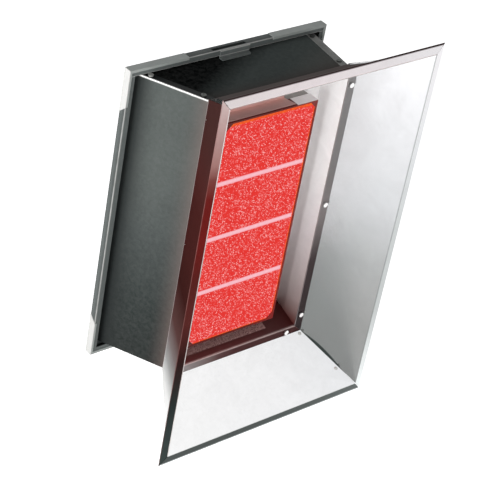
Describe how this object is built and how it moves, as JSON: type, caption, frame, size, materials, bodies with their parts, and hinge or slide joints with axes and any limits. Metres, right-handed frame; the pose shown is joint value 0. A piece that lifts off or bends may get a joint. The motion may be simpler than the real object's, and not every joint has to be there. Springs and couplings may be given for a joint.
{
  "type": "gas infrared heater",
  "caption": "High-intensity gas infrared heater with glowing ceramic tiles in a flared mirror reflector, a slanted sheet housing and a rear hanging pan",
  "frame": {"origin": "centre of the rear plane of the pan, midway between its hanger holes", "axes": "+Y points out of the back, so the glowing face and the reflector's mouth face -Y; +Z runs along the long side, away from the gas inlet; +X is to the right seen from the mouth"},
  "size_m": [0.386, 0.2104, 0.616],
  "materials": {
    "housing_paint": "satin dark grey paint",
    "clip_steel": "plain zinc-plated steel strip",
    "screw_steel": "zinc-plated fasteners",
    "mirror_aluminium": "polished, mirror-like",
    "liner_steel": "heat-tinted aluminised steel",
    "burner_steel": "aluminised steel",
    "frame_steel": "black heat-proof enamel",
    "glowing_ceramic": "red-hot perforated ceramic",
    "joint_cement": "pale refractory cement lit by the tiles",
    "seal_fibre": "ceramic fibre seal glowing orange",
    "brass": "turned brass",
    "pipe_aluminium": "plain drawn tube",
    "valve_casting": "die-cast, lightly sanded",
    "knob_plastic": "red plastic",
    "coil_resin": "moulded black resin",
    "plunger_steel": "ground steel",
    "inlet_steel": "zinc-plated, yellow passivated",
    "module_plastic": "moulded dark plastic",
    "porcelain": "glazed white porcelain",
    "electrode_alloy": "heat-proof alloy rod",
    "lead_silicone_red": "silicone-covered lead",
    "lead_silicone_white": "silicone-covered lead",
    "wire_black": "insulated wire",
    "block_plastic": "moulded black plastic"
  },
  "bodies": {
    "heater": {"rear_pan": "housing_paint", "corner_clip_top_left": "clip_steel", "corner_clip_top_right": "clip_steel", "corner_clip_bottom_left": "clip_steel", "corner_clip_bottom_right": "clip_steel", "left_wall": "housing_paint", "right_wall": "housing_paint", "top_wall": "housing_paint", "bottom_wall": "housing_paint", "wall_screws": "screw_steel", "access_cover": "housing_paint", "cover_screws": "screw_steel", "hanger_nuts": "screw_steel", "reflector_left": "mirror_aluminium", "reflector_right": "mirror_aluminium", "reflector_top": "mirror_aluminium", "reflector_bottom": "mirror_aluminium", "reflector_rivets": "screw_steel", "liner_left": "liner_steel", "liner_right": "liner_steel", "liner_top": "liner_steel", "liner_bottom": "liner_steel", "liner_screws": "screw_steel", "bulkhead": "burner_steel", "burner_plenum": "burner_steel", "spreader_baffle": "burner_steel", "tile_1": "glowing_ceramic", "tile_2": "glowing_ceramic", "tile_3": "glowing_ceramic", "tile_4": "glowing_ceramic", "tile_joints": "joint_cement", "tile_seal": "seal_fibre", "burner_frame": "frame_steel", "top_baffle": "liner_steel", "plenum_nuts": "screw_steel", "mixing_tube": "burner_steel", "orifice_bracket": "burner_steel", "orifice": "brass", "manifold_pipe": "pipe_aluminium", "pipe_nut": "brass", "valve_body": "valve_casting", "solenoid_coil": "coil_resin", "inlet_coupling": "inlet_steel", "inlet_locknut": "plunger_steel", "ignition_module": "module_plastic", "electrode_bracket": "burner_steel", "spark_insulator": "porcelain", "spark_electrode": "electrode_alloy", "sensor_insulator": "porcelain", "flame_sensor": "electrode_alloy", "spark_lead": "lead_silicone_red", "sensor_lead": "lead_silicone_white", "valve_lead": "wire_black", "supply_lead": "wire_black", "terminal_block": "block_plastic", "conduit_bushing": "block_plastic"},
    "knob": {"valve_knob": "knob_plastic"},
    "armature": {"plunger": "plunger_steel"}
  },
  "joints": [
    {"name": "knob_turn", "type": "hinge", "parent": "heater", "child": "knob", "pos_m": [-0.09316, 0, -0.154], "axis": [0, 1, 0], "range_deg": [0, 90]},
    {"name": "plunger_slide", "type": "slide", "parent": "heater", "child": "armature", "axis": [0, 0, 1], "range_m": [0, 0.003], "stiffness_N_per_m": 300, "springref_m": -0.005}
  ]
}
